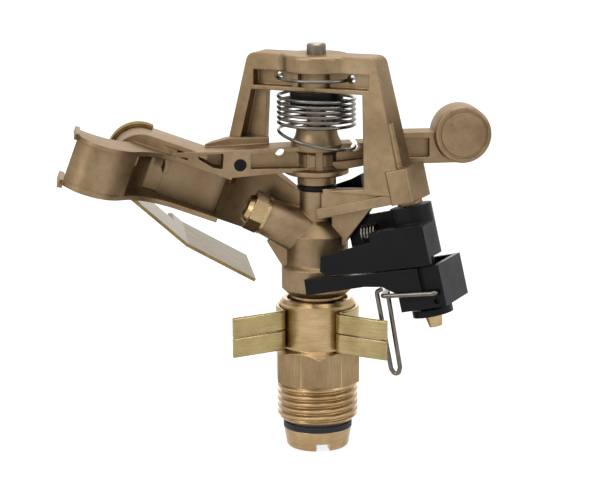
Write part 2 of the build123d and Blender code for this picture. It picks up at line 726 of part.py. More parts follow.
def reversing_lever():
    """Upper black lever: hub on the pivot, long front wall and shorter back wall."""
    low = -0.9 - lever_gap - tray_height
    high = -0.9 - lever_gap
    tray_top = -5.4
    tray_right = 4.2
    hub = Pos(0, 0, (low + high) / 2) * Cylinder(tray_hub_r, tray_height)
    front = upright([(-tray_reach + 1.0, low), (-tray_reach - 0.3, low + 1.0), (-tray_reach + 0.8, -9.4),
                     (-1.7, -6.9), (0, tray_top), (tray_right, tray_top), (tray_right, low)],
                    tray_front_q, tray_front_q + tray_wall)
    link = flat([(tray_right, tray_front_q), (-9, tray_front_q), (-9, tray_front_q + tray_wall),
                 (-4.8, 0), (4.8, 0), (5.2, -3)], low, tray_top)
    floor = flat([(-tray_reach + 9, tray_front_q), (3, tray_front_q), (3, tray_back_q), (-16, tray_back_q)],
                 low, low + tray_floor)
    back = upright([(-tray_back_reach, low + 3), (-tray_back_reach, -4.0), (-17.5, -2.2), (0, -2.0), (0, low),
                    (-15, low)], tray_back_q - tray_wall, tray_back_q)
    horn = upright([(-23.6, 4.6), (-23.1, 6.4), (-18.3, 7.1), (-15.3, 8.0), (-16.0, -6), (-19.4, -6)],
                   tray_back_q + 3.5, tray_back_q + 5.5)
    horn_foot = block(-19.4, -16.0, tray_back_q - tray_wall, tray_back_q + 5.5, -8, -4.6)
    lever = hub + front + link + floor + back + horn + horn_foot
    return at_pivot(lever - Cylinder(pivot_pin_r + running_fit, 80))


def trip_lever():
    """Lower black lever: long finger beside the neck and an open box at the pivot."""
    high = -0.9 - 2 * lever_gap - tray_height
    box_high = high - 1.6
    low = -27.4
    half = trip_box_depth / 2
    box_low = box_high - trip_box_height
    body = block(-5.0, trip_box_out, -half, half, box_low, box_high)
    hollow = block(-3.4, trip_box_out - 1.4, -half + 1.4, half - 1.4, box_low + 1.6, box_high + 1)
    hub = Pos(0, 0, (high + low) / 2) * Cylinder(3.1, high - low)
    finger = upright([(-trip_reach, high - 0.1), (-trip_reach - 0.4, high - trip_arm_h), (-13.0, -18.6),
                      (-8.3, -19.3), (-4.9, -21.5), (-1.4, -22.8), (2, -23.0), (2, box_high),
                      (-6, box_high + 0.3), (-12.4, box_high + 0.5)], trip_arm_q, trip_arm_q + trip_arm_t)
    web_floor = flat([(-16, trip_arm_q), (0, trip_arm_q), (0, 5), (-6, 4)], high - 3.6, high - 1.9)
    lever = body - hollow + finger + web_floor + hub
    holes = Pos(5.6, -half, -22.7) * Rot(90, 0, 0) * Cylinder(wire_d / 2 + running_fit, 3.2)
    return at_pivot(lever - holes - Cylinder(pivot_pin_r + running_fit, 90))


def trip_wire():
    """Bent wire that the collar ears push to trip the mechanism."""
    q_front = -trip_box_depth / 2 - 1.8
    q_loop = -2.7
    radius = 0.9
    points = [(5.6, -trip_box_depth / 2 + 0.6, -22.7), (5.6, q_front, -22.7), (-8.0, q_front, -21.4),
              (-9.9, q_loop, -21.0), (-12.9, q_loop, -21.3), (-13.4, q_loop, -39.6), (-12.2, q_loop, -43.2),
              (-10.9, q_loop, -39.6), (-9.9, q_loop, -24.0)]
    return at_pivot(bent_wire(points, radius, wire_d))


def pivot_clip():
    high = -27.4 - 0.1
    ring = Pos(0, 0, high - clip_height / 2) * Cylinder(clip_r, clip_height)
    return at_pivot(ring - Cylinder(pivot_pin_r + running_fit, 90))


def trip_pivot_pin():
    low = -27.5 - clip_height
    shank = Pos(0, 0, (low + block_height) / 2) * Cylinder(pivot_pin_r, block_height - low)
    tip = Pos(0, 0, low - 1.6) * Cone(1.7, pivot_tip_r, 3.2)
    return at_pivot(shank + tip)


def toggle_spring():
    """Small spring that snaps the reversing lever over."""
    count = 10
    pitch = 0.85
    levels = [pitch * i / 2 for i in range(count + 1)]
    leg = Line((toggle_r, -5.5, 0), (toggle_r, 0, 0))
    spring = coil(toggle_r, toggle_wire_d, levels, lead=leg)
    return at_pivot(Pos(-13.8, -1.6, -6.6) * Rot(0, 90, 0) * spring)


def arm_spring():
    """Torsion spring from the web of the bridge down to the arm."""
    hook = tail_hole_z
    close = [hub_top + 1.0 + arm_spring_pitch * i / 2 for i in range(2 * arm_spring_turns + 1)]
    levels = [hook, hook + 4.6] + close + [close[-1] + 0.8, spring_hole_z - 0.15, spring_hole_z + 0.15]
    turn = math.radians(-bridge_turn)
    start = (arm_spring_r * math.cos(turn), arm_spring_r * math.sin(turn), hook)
    middle = (arm_spring_r * math.cos(turn / 2), arm_spring_r * math.sin(turn / 2), hook)
    lead = ThreePointArc(start, middle, (arm_spring_r, 0, hook))
    return in_bridge(coil(arm_spring_r, arm_spring_wire, levels, hand=-1, lead=lead))


parts = {
    "bearing_nipple": bearing_nipple(),
    "bearing_tube": bearing_tube(),
    "lower_seal": tube_ring(seal_r, -seal_height - liner_height, -liner_height),
    "seal_liner": tube_ring(seal_r - 0.6, -liner_height, 0),
    "friction_ring": tube_ring(spring_chamber_r - 0.1, spigot_top - spring_chamber_depth,
                               spigot_top - spring_chamber_depth + friction_ring_height),
    "thrust_spring": thrust_spring(),
    "spring_cover": spring_cover(),
    "upper_trip_collar": trip_collar(hex_high + collar_height + 2 * collar_gap),
    "lower_trip_collar": trip_collar(hex_high + collar_gap),
    "sprinkler_body": sprinkler_body(),
    "nozzle": nozzle(),
    "stream_straightener": stream_straightener(),
    "fulcrum_pin": fulcrum_pin(),
    "upper_bush": upper_bush(),
    "lower_washer": lower_washer(),
    "impact_arm": impact_arm(),
    "arm_bushing": arm_bushing(),
    "arm_bumper": arm_bumper(),
    "deflector_sheet": deflector_sheet(),
    "arm_spring": arm_spring(),
    "reversing_lever": reversing_lever(),
    "trip_lever": trip_lever(),
    "trip_wire": trip_wire(),
    "pivot_clip": pivot_clip(),
    "trip_pivot_pin": trip_pivot_pin(),
    "toggle_spring": toggle_spring(),
}

os.makedirs("parts", exist_ok=True)
for name, shape in parts.items():
    export_step(Pos(0, 0, -hex_low) * shape, f"parts/{name}.step")
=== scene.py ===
import json
import math

import bmesh
import bpy
from mathutils import Matrix, Vector

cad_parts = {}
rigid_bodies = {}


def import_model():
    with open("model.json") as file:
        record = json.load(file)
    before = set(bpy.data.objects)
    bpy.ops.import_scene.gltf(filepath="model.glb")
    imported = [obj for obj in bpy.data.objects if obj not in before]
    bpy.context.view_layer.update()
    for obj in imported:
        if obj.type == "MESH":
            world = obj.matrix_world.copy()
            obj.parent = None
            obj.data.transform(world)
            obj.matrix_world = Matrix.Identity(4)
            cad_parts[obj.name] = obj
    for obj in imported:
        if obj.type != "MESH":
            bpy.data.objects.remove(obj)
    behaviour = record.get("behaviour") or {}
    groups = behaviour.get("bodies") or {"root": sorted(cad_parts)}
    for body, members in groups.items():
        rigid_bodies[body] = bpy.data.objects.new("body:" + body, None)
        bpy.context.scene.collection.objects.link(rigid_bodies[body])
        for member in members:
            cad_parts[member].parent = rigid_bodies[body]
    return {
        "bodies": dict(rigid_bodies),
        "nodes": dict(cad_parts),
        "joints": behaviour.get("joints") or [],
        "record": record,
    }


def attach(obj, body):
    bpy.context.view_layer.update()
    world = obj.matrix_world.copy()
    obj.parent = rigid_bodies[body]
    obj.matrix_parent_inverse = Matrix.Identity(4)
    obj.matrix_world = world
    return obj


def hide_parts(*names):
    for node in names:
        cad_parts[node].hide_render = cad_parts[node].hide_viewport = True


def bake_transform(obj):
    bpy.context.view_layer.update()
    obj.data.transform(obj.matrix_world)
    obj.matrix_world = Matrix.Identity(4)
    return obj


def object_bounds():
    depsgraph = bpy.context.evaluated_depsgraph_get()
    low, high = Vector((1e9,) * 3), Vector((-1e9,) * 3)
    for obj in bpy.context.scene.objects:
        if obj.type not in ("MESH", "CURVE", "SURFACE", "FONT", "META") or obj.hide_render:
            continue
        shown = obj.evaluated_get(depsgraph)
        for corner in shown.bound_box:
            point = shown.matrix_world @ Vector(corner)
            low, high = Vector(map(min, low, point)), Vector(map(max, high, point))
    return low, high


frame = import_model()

MM = 0.001
SHOULDER = 10.2
cad_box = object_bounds()
nodes = frame["nodes"]
scene = bpy.context.scene


def at(x, y, z):
    """Point in metres from millimetres, with the level counted from the thread's lower end."""
    return Vector((x * MM, y * MM, (z - SHOULDER) * MM))


def smooth_by_angle(piece, degrees):
    """Smooth shading, with edges sharper than the angle left hard."""
    mesh = bmesh.new()
    mesh.from_mesh(piece.data)
    limit = math.radians(degrees)
    for face in mesh.faces:
        face.smooth = True
    for edge in mesh.edges:
        edge.smooth = len(edge.link_faces) == 2 and edge.calc_face_angle(math.pi) < limit
    mesh.to_mesh(piece.data)
    mesh.free()


# Camera: solved for the photograph, with lengths in mm

LENS = 130.03
DISTANCE = 560
AIM_SIDE = -4.4
AIM_LEVEL = 47.2
ELEVATION = math.radians(11.8)
ROLL = math.radians(-0.30)
TURN = math.radians(-6.0)


def make_camera():
    """Camera that turns round the riser and looks down at it from the photographer's place."""
    data = bpy.data.cameras.new("photo_camera")
    data.sensor_width = 36.0
    data.lens = LENS
    data.clip_start = 0.05
    data.clip_end = 50.0
    camera = bpy.data.objects.new("photo_camera", data)
    scene.collection.objects.link(camera)
    turn = Matrix.Rotation(TURN, 3, "Z")
    right = turn @ Vector((1, 0, 0))
    up = turn @ Vector((0, math.sin(ELEVATION), math.cos(ELEVATION)))
    ahead = turn @ Vector((0, math.cos(ELEVATION), -math.sin(ELEVATION)))
    x_axis = right * math.cos(ROLL) + up * math.sin(ROLL)
    y_axis = up * math.cos(ROLL) - right * math.sin(ROLL)
    place = turn @ Vector((AIM_SIDE, -DISTANCE * math.cos(ELEVATION), 0))
    place = at(place.x, place.y, AIM_LEVEL + DISTANCE * math.sin(ELEVATION))
    rows = Matrix((x_axis, y_axis, -ahead)).transposed()
    camera.matrix_world = Matrix.Translation(place) @ rows.to_4x4()
    scene.camera = camera


make_camera()


# Materials

def linear(value):
    """Linear share of light for one channel of a display colour, 0 to 255."""
    value = value / 255
    return value / 12.92 if value <= 0.04045 else ((value + 0.055) / 1.055) ** 2.4


def colour(r, g, b):
    """Shader colour from a display colour."""
    return (linear(r), linear(g), linear(b), 1.0)


def new_material(name):
    """Material with its node tree, its shader and a source of object coordinates."""
    material = bpy.data.materials.new(name)
    material.use_nodes = True
    tree = material.node_tree
    shader = tree.nodes["Principled BSDF"]
    place = tree.nodes.new("ShaderNodeTexCoord")
    return material, tree, shader, place


def noise(tree, place, scale, detail, rough=0.55, stretch=None):
    """Noise in the object's own coordinates; a stretch draws it out into lines."""
    node = tree.nodes.new("ShaderNodeTexNoise")
    node.inputs["Scale"].default_value = scale
    node.inputs["Detail"].default_value = detail
    node.inputs["Roughness"].default_value = rough
    if stretch is None:
        tree.links.new(place.outputs["Object"], node.inputs["Vector"])
    else:
        mapping = tree.nodes.new("ShaderNodeMapping")
        mapping.inputs["Scale"].default_value = stretch
        tree.links.new(place.outputs["Object"], mapping.inputs["Vector"])
        tree.links.new(mapping.outputs["Vector"], node.inputs["Vector"])
    return node


def ramp(tree, source, stops):
    """Colours along a value, as (position, colour) stops."""
    node = tree.nodes.new("ShaderNodeValToRGB")
    elements = node.color_ramp.elements
    while len(elements) < len(stops):
        elements.new(0.5)
    for element, (position, value) in zip(elements, stops):
        element.position = position
        element.color = value
    tree.links.new(source, node.inputs["Fac"])
    return node


def spread(tree, source, low, high):
    """Spread the middle of a noise over a range of values."""
    node = tree.nodes.new("ShaderNodeMapRange")
    node.inputs["From Min"].default_value = 0.3
    node.inputs["From Max"].default_value = 0.7
    node.inputs["To Min"].default_value = low
    node.inputs["To Max"].default_value = high
    tree.links.new(source, node.inputs["Value"])
    return node.outputs["Result"]


def bump(tree, source, strength, distance, normal=None):
    """Fine relief of a height, over another normal where there is one."""
    node = tree.nodes.new("ShaderNodeBump")
    node.inputs["Strength"].default_value = strength
    node.inputs["Distance"].default_value = distance
    tree.links.new(source, node.inputs["Height"])
    if normal is not None:
        tree.links.new(normal, node.inputs["Normal"])
    return node.outputs["Normal"]


def soft_edges(tree, radius):
    """Normal that rounds the sharp edges by a radius in metres."""
    node = tree.nodes.new("ShaderNodeBevel")
    node.samples = 6
    node.inputs["Radius"].default_value = radius
    return node.outputs["Normal"]


def multiply(tree, factor, first, second):
    """Colour darkened or lightened by another, as far as the factor says."""
    node = tree.nodes.new("ShaderNodeMix")
    node.data_type = "RGBA"
    node.blend_type = "MULTIPLY"
    node.inputs[0].default_value = factor
    tree.links.new(first, node.inputs[6])
    tree.links.new(second, node.inputs[7])
    return node.outputs[2]


def tint_glance(material, tint):
    """Darken what a metal shows where it is seen at a grazing angle."""
    shader = material.node_tree.nodes["Principled BSDF"]
    shader.inputs["Specular Tint"].default_value = (*tint, 1.0)


def cast_metal(name, dark, mid, light):
    """Satin cast metal: slow tone changes, fine even grain, a few specks, softened edges."""
    material, tree, shader, place = new_material(name)
    slow = noise(tree, place, 70, 3)
    fine = noise(tree, place, 2600, 3, 0.6)
    grain = noise(tree, place, 520, 5, 0.65)
    specks = noise(tree, place, 1300, 1, 0.4)
    tone = ramp(tree, slow.outputs["Fac"], [(0.32, dark), (0.50, mid), (0.70, light)])
    mottle = ramp(tree, grain.outputs["Fac"], [(0.30, (0.86, 0.85, 0.84, 1)), (0.62, (1.05, 1.05, 1.05, 1))])
    tone = multiply(tree, 1.0, tone.outputs["Color"], mottle.outputs["Color"])
    speck = ramp(tree, specks.outputs["Fac"], [(0.22, (0.5, 0.48, 0.46, 1)), (0.27, (1, 1, 1, 1))])
    tone = multiply(tree, 0.6, tone, speck.outputs["Color"])
    tree.links.new(tone, shader.inputs["Base Color"])
    shader.inputs["Metallic"].default_value = 1.0
    tint_glance(material, (0.70, 0.665, 0.63))
    tree.links.new(spread(tree, grain.outputs["Fac"], 0.40, 0.50), shader.inputs["Roughness"])
    normal = bump(tree, fine.outputs["Fac"], 0.5, 0.00003, soft_edges(tree, 0.0004))
    tree.links.new(normal, shader.inputs["Normal"])
    return material


def turned_metal(name, dark, light, rough=(0.16, 0.30), streak=(40, 40, 900), edge=0.0003, depth=0.00003):
    """Machined metal with fine tool lines; the stretch sets which way they run."""
    material, tree, shader, place = new_material(name)
    lines = noise(tree, place, 6, 4, 0.6, streak)
    slow = noise(tree, place, 120, 3)
    tone = ramp(tree, slow.outputs["Fac"], [(0.32, dark), (0.68, light)])
    drawn = ramp(tree, lines.outputs["Fac"], [(0.34, (0.80, 0.78, 0.76, 1)), (0.66, (1.06, 1.06, 1.06, 1))])
    tone = multiply(tree, 1.0, tone.outputs["Color"], drawn.outputs["Color"])
    tree.links.new(tone, shader.inputs["Base Color"])
    shader.inputs["Metallic"].default_value = 1.0
    tree.links.new(spread(tree, lines.outputs["Fac"], rough[0], rough[1]), shader.inputs["Roughness"])
    normal = bump(tree, lines.outputs["Fac"], 0.25, depth, soft_edges(tree, edge))
    tree.links.new(normal, shader.inputs["Normal"])
    return material


def wire_metal(name, dark, light, rough=(0.22, 0.30)):
    """Drawn wire: an even tone with faint drawing marks."""
    material, tree, shader, place = new_material(name)
    slow = noise(tree, place, 200, 2)
    tone = ramp(tree, slow.outputs["Fac"], [(0.35, dark), (0.65, light)])
    tree.links.new(tone.outputs["Color"], shader.inputs["Base Color"])
    shader.inputs["Metallic"].default_value = 1.0
    tree.links.new(spread(tree, slow.outputs["Fac"], rough[0], rough[1]), shader.inputs["Roughness"])
    fine = noise(tree, place, 3000, 2)
    tree.links.new(bump(tree, fine.outputs["Fac"], 0.1, 0.00001), shader.inputs["Normal"])
    return material


def moulded_plastic(name, base, light, rough, shine):
    """Moulded part: faint grain, slow changes of gloss, softened edges."""
    material, tree, shader, place = new_material(name)
    fine = noise(tree, place, 2600, 2, 0.5)
    slow = noise(tree, place, 160, 3)
    tone = ramp(tree, slow.outputs["Fac"], [(0.35, base), (0.75, light)])
    tree.links.new(tone.outputs["Color"], shader.inputs["Base Color"])
    tree.links.new(spread(tree, slow.outputs["Fac"], rough[0], rough[1]), shader.inputs["Roughness"])
    shader.inputs["Specular IOR Level"].default_value = shine
    normal = bump(tree, fine.outputs["Fac"], 0.25, 0.00002, soft_edges(tree, 0.0004))
    tree.links.new(normal, shader.inputs["Normal"])
    return material


cast = cast_metal("satin_cast_brass", colour(124, 104, 78), colour(138, 117, 90), colour(150, 130, 102))
machined = turned_metal("machined_brass", colour(150, 124, 86), colour(184, 160, 120))
drawn_bar = turned_metal("drawn_hexagon_bar", colour(132, 110, 80), colour(156, 134, 102), (0.30, 0.42),
                         (700, 700, 30), 0.0003, 0.00006)
threaded = turned_metal("cut_thread_brass", colour(160, 134, 96), colour(186, 161, 122), (0.26, 0.38),
                        (40, 40, 500), 0.0002)
strip = turned_metal("rolled_strip_brass", colour(152, 134, 92), colour(178, 162, 118), (0.22, 0.36),
                     (30, 30, 700), 0.00035)
mirror = turned_metal("polished_sheet", colour(168, 160, 146), colour(178, 170, 156), (0.10, 0.16),
                      (60, 60, 60))
tint_glance(mirror, (0.32, 0.30, 0.27))
sheared = turned_metal("sheared_sheet", colour(118, 98, 62), colour(146, 124, 82), (0.30, 0.42),
                       (60, 60, 60))
tint_glance(sheared, (0.45, 0.40, 0.30))
steel = wire_metal("drawn_steel_wire", colour(92, 88, 81), colour(114, 109, 101))
pin_steel = wire_metal("turned_pin", colour(112, 104, 92), colour(140, 131, 117), (0.30, 0.40))
plastic = moulded_plastic("black_moulded_plastic", colour(11, 11, 12), colour(19, 19, 20),
                          (0.34, 0.46), 0.14)
rubber = moulded_plastic("seal_rubber", colour(34, 35, 42), colour(48, 49, 58), (0.55, 0.7), 0.3)
liner = moulded_plastic("seal_liner", colour(120, 112, 104), colour(150, 142, 132), (0.5, 0.6), 0.4)

finish = {
    "sprinkler_body": cast, "bearing_tube": machined, "spring_cover": machined, "trip_pivot_pin": machined,
    "nozzle": threaded, "thrust_spring": steel, "toggle_spring": steel, "fulcrum_pin": pin_steel,
    "upper_bush": plastic, "arm_bushing": plastic, "pivot_clip": plastic, "stream_straightener": plastic,
    "lower_washer": plastic, "arm_bumper": plastic, "lower_seal": rubber, "seal_liner": liner,
    "friction_ring": liner,
}
for name, material in finish.items():
    piece = nodes[name]
    piece.data.materials.clear()
    piece.data.materials.append(material)


# Frames of the CAD solids that are redrawn: level, along the levers' pin, and along the spoon

BRIDGE_TURN = math.radians(-30.0)
PIVOT = Vector((26.5, -2.5, 60.0))
PIVOT_TILT = math.radians(13.0)
SPOON_ROOT = (-22.1, 0, 64.9)
SPOON_TILT = math.radians(20.3)
level_frame = Matrix.Translation(at(0, 0, 0))
at_pivot = level_frame @ Matrix.Rotation(BRIDGE_TURN, 4, "Z")
at_pivot = at_pivot @ Matrix.Translation(PIVOT * MM) @ Matrix.Rotation(-PIVOT_TILT, 4, "Y")
in_spoon = Matrix.Translation(at(*SPOON_ROOT)) @ Matrix.Rotation(SPOON_TILT, 4, "Y")


def add_piece(name, mesh, materials, body, slot, *replaced):
    """Link a finished bmesh as a piece that stands for CAD nodes, and rides on a body if it has one."""
    bmesh.ops.recalc_face_normals(mesh, faces=mesh.faces[:])
    data = bpy.data.meshes.new(name)
    mesh.to_mesh(data)
    mesh.free()
    piece = bpy.data.objects.new(name, data)
    for material in materials:
        data.materials.append(material)
    scene.collection.objects.link(piece)
    smooth_by_angle(piece, 35)
    if body:
        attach(piece, body)
    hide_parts(*replaced)
    return piece


def skin(mesh, rings):
    """Close a run of rings of vertices into a solid, with a face over each end."""
    count = len(rings[0])
    for first, second in zip(rings[:-1], rings[1:]):
        for i in range(count):
            j = (i + 1) % count
            mesh.faces.new((first[i], first[j], second[j], second[i]))
    mesh.faces.new(rings[0])
    mesh.faces.new(list(reversed(rings[-1])))


# Pieces drawn from their CAD solids, with small changes of shape or finish

SHEET_EDGE_FACING = 0.8
SHEET_WRAP_LOW = 60.0


def prism(frame, outline, low, high):
    """Closed prism: an outline of (x, z) points in mm, between two depths along y."""
    mesh = bmesh.new()
    near = [mesh.verts.new(frame @ (Vector((x, low, z)) * MM)) for x, z in outline]
    far = [mesh.verts.new(frame @ (Vector((x, high, z)) * MM)) for x, z in outline]
    mesh.faces.new(near)
    mesh.faces.new(list(reversed(far)))
    count = len(outline)
    for i in range(count):
        j = (i + 1) % count
        mesh.faces.new((near[j], near[i], far[i], far[j]))
    bmesh.ops.recalc_face_normals(mesh, faces=mesh.faces[:])
    data = bpy.data.meshes.new("tool")
    mesh.to_mesh(data)
    mesh.free()
    tool = bpy.data.objects.new("tool", data)
    scene.collection.objects.link(tool)
    return tool


def slab(frame, x0, x1, y0, y1, z0, z1):
    """Box between two places along each axis of its frame, in mm."""
    return prism(frame, [(x0, z0), (x1, z0), (x1, z1), (x0, z1)], y0, y1)


def round_tool(frame, x, z, radius, y0, y1, sides=24):
    """Round rod along y, in mm."""
    ring = [(x + radius * math.cos(math.tau * i / sides), z + radius * math.sin(math.tau * i / sides))
            for i in range(sides)]
    return prism(frame, ring, y0, y1)


def reworked(node, name, material, body, slot, cuts, adds):
    """Copy of a CAD solid with tools cut from it and others joined to it."""
    base = bpy.data.objects.new("base", nodes[node].data.copy())
    scene.collection.objects.link(base)
    for operation, tools in (("DIFFERENCE", cuts), ("UNION", adds)):
        for tool in tools:
            step = base.modifiers.new("step", "BOOLEAN")
            step.operation = operation
            step.solver = "EXACT"
            step.object = tool
    bpy.context.view_layer.update()
    result = base.evaluated_get(bpy.context.evaluated_depsgraph_get())
    mesh = bmesh.new()
    mesh.from_mesh(result.data)
    for face in mesh.faces:
        face.material_index = 0
    for leftover in [base] + cuts + adds:
        bpy.data.objects.remove(leftover)
    return add_piece(name, mesh, [material], body, slot, node)


def make_arm():
    """Impact arm: clean water channel, slim end lips and a closed corner below the hood's roof."""
    root = slab(in_spoon, -3.4, 0.3, -5.2, 2.1, -5.0, -0.6)
    channel = slab(in_spoon, -24.0, -15.4, -4.6, -2.6, -6.5, -0.6)
    lip_top = slab(in_spoon, -44.0, -42.1, -27.0, -11.0, -0.7, 2.0)
    lip_high = slab(in_spoon, -44.0, -40.0, -27.0, -11.0, 0.95, 2.0)
    lip_low = slab(in_spoon, -44.0, -42.25, -27.0, -11.0, -15.0, -10.5)
    behind = prism(level_frame, [(-41.0, 71.9), (-41.0, 74.9), (-35.8, 73.0), (-35.8, 70.6)], -3.8, -2.4)
    wall = slab(in_spoon, -20.3, -0.25, 2.05, 4.0, -11.8, -0.3)
    reworked("impact_arm", "cast_impact_arm", cast, "arm", "cast_brass",
             [root, channel, lip_top, lip_high, lip_low], [behind, wall])


def make_levers():
    """Levers: the tray's skirt follows the lever below it; the box has its second hole."""
    skirt = slab(at_pivot, -15.0, -5.2, 3.05, 4.55, -15.9, -13.6)
    outline = [(-23.0, -13.8), (-23.0, -14.35), (-12.4, -15.2), (-6.0, -15.4), (2.0, -15.7),
               (5.6, -15.7), (5.6, -6.0), (5.2, -5.6), (3.9, -5.6), (3.9, -13.8)]
    front = prism(at_pivot, outline, -9.0, -7.4)
    corner = slab(at_pivot, 3.7, 5.6, -7.6, -1.0, -14.0, -5.7)
    reworked("reversing_lever", "moulded_reversing_lever", plastic, "reverser", "black_plastic",
             [], [skirt, front, corner])
    hole = round_tool(at_pivot, 5.0, -25.0, 0.75, -9.0, -7.0)
    reworked("trip_lever", "moulded_trip_lever", plastic, "trip", "black_plastic", [hole], [])


def make_sheet():
    """Deflector sheet: polished blade, darker wrap over the hood and sheared edges."""
    piece = reworked("deflector_sheet", "polished_deflector_sheet", mirror, "arm", "polished_sheet", [], [])
    piece.data.materials.append(sheared)
    wrap = at(0, 0, SHEET_WRAP_LOW).z
    for face in piece.data.polygons:
        if abs(face.normal.y) > SHEET_EDGE_FACING or face.center.z > wrap:
            face.material_index = 1


def make_arm_spring():
    """Torsion spring: redrawn from its CAD solid and fixed in place, riding on no body."""
    piece = reworked("arm_spring", "wound_arm_spring", steel, None, "spring_steel", [], [])
    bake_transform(piece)


make_arm()
make_sheet()
make_arm_spring()
make_levers()


# Trip collars: bent strip with rounded edges, in mm

SPIGOT_R = 9.7
COLLAR_GRIP = 0.05
COLLAR_WALL = 1.1
COLLAR_HEIGHT = 5.15
COLLAR_GAP = 0.1
COLLAR_LOW = 19.8
BEND_R = 1.9
STRIP_EDGE_R = 0.42
EAR_RIGHT = (15.3, -20.0)
EAR_LEFT = (-22.8, -12.6)
ROOT_RIGHT = math.radians(-60.0)
ROOT_LEFT = math.radians(203.0)


def arc(centre, radius, start, end, step=math.radians(6)):
    """Points of an arc between two angles, both ends included."""
    count = max(2, math.ceil(abs(end - start) / step))
    turns = [start + (end - start) * i / count for i in range(count + 1)]
    return [(centre[0] + radius * math.cos(a), centre[1] + radius * math.sin(a)) for a in turns]


def ear(root, tip, middle, hand):
    """Points from the band outwards: the root bend, then the straight ear to its tip."""
    centre = ((middle + BEND_R) * math.cos(root), (middle + BEND_R) * math.sin(root))
    away = (tip[0] - centre[0], tip[1] - centre[1])
    leave = math.atan2(away[1], away[0]) + hand * math.acos(BEND_R / math.hypot(*away))
    inward = root + math.pi
    sweep = (leave - inward + math.pi) % math.tau - math.pi
    return arc(centre, BEND_R, inward, inward + sweep) + [tip]


def strip_section():
    """Section of the strip with its four edges rounded, as (offset, level) points."""
    half = COLLAR_WALL / 2
    edge = STRIP_EDGE_R
    corners = [(half - edge, edge, -90, 0), (half - edge, COLLAR_HEIGHT - edge, 0, 90),
               (edge - half, COLLAR_HEIGHT - edge, 90, 180), (edge - half, edge, 180, 270)]
    points = []
    for x, z, start, end in corners:
        points += arc((x, z), edge, math.radians(start), math.radians(end), math.radians(18))
    return points


def make_collar(name, node, body, low):
    """One collar: an open band round the spigot whose two ends bend outwards as ears."""
    middle = SPIGOT_R + COLLAR_GRIP + COLLAR_WALL / 2
    right = ear(ROOT_RIGHT, EAR_RIGHT, middle, -1)
    left = ear(ROOT_LEFT, EAR_LEFT, middle, 1)
    band = arc((0, 0), middle, ROOT_RIGHT, ROOT_LEFT, math.radians(4))
    path = list(reversed(right)) + band[1:-1] + left
    mesh = bmesh.new()
    rings = []
    for i, point in enumerate(path):
        before = path[max(i - 1, 0)]
        after = path[min(i + 1, len(path) - 1)]
        run = Vector((after[0] - before[0], after[1] - before[1])).normalized()
        side = Vector((run.y, -run.x))
        ring = []
        for offset, level in strip_section():
            place = (point[0] + side.x * offset, point[1] + side.y * offset, low + level)
            ring.append(mesh.verts.new(at(*place)))
        rings.append(ring)
    skin(mesh, rings)
    add_piece(name, mesh, [strip], body, "strip_brass", node)


lower_level = COLLAR_LOW + COLLAR_GAP
upper_level = COLLAR_LOW + 2 * COLLAR_GAP + COLLAR_HEIGHT
make_collar("bent_lower_collar", "lower_trip_collar", "lower_collar", lower_level)
make_collar("bent_upper_collar", "upper_trip_collar", "upper_collar", upper_level)


# Trip wire: a hairpin that the collar ears push, in mm

WIRE_R = 0.6
WIRE_SIDES = 16
WIRE_BEND = 0.9
BEND_STEPS = 8
BEND_SHARE = 0.45
RUN_DEPTH = -9.75
LOOP_DEPTH = -2.7


def wire_path():
    """Points of the wire: end in the box wall, run along the finger, hairpin with its end tucked in."""
    run = [(5.6, -7.4, -22.7), (5.6, RUN_DEPTH, -22.7), (-8.4, RUN_DEPTH, -21.5)]
    loop = [(-9.9, -21.0), (-10.9, -41.4), (-11.6, -42.8), (-12.8, -42.8), (-13.4, -41.4),
            (-12.9, -21.2), (-11.3, -20.8)]
    corners = [Vector(c) for c in run] + [Vector((x, LOOP_DEPTH, z)) for x, z in loop]
    path = [corners[0]]
    for before, here, after in zip(corners[:-2], corners[1:-1], corners[2:]):
        back = (before - here).normalized()
        ahead = (after - here).normalized()
        half = back.angle(ahead) / 2
        room = BEND_SHARE * min((before - here).length, (after - here).length)
        trim = min(WIRE_BEND / math.tan(half), room)
        start = here + back * trim
        end = here + ahead * trim
        for i in range(BEND_STEPS + 1):
            t = i / BEND_STEPS
            path.append(start * (1 - t) ** 2 + here * (2 * t * (1 - t)) + end * t ** 2)
    return path + [corners[-1]]


def make_wire():
    """Round wire along its path, with rings that don't twist."""
    path = wire_path()
    mesh = bmesh.new()
    rings = []
    side = Vector((0, 0, 1))
    for i, point in enumerate(path):
        run = (path[min(i + 1, len(path) - 1)] - path[max(i - 1, 0)]).normalized()
        side = (side - run * side.dot(run)).normalized()
        across = run.cross(side)
        ring = []
        for k in range(WIRE_SIDES):
            turn = math.tau * k / WIRE_SIDES
            spoke = side * (WIRE_R * math.cos(turn)) + across * (WIRE_R * math.sin(turn))
            ring.append(mesh.verts.new(at_pivot @ ((point + spoke) * MM)))
        rings.append(ring)
    skin(mesh, rings)
    add_piece("hairpin_trip_wire", mesh, [steel], "trip", "spring_steel", "trip_wire")


make_wire()


# Inlet with its thread, in mm

THREAD_R = 10.4775
THREAD_PITCH = 1.8143
THREAD_DEPTH = 0.85
THREAD_LEAD = 1.3
THREAD_RUNOUT = 0.5
THREAD_TURN_STEPS = 144
THREAD_LEVEL_STEP = 0.13
THREAD_OVERLAP = 0.4
BORE_R = 6.05
HEX_HIGH = 9.65
HEX_INNER_R = 9.5


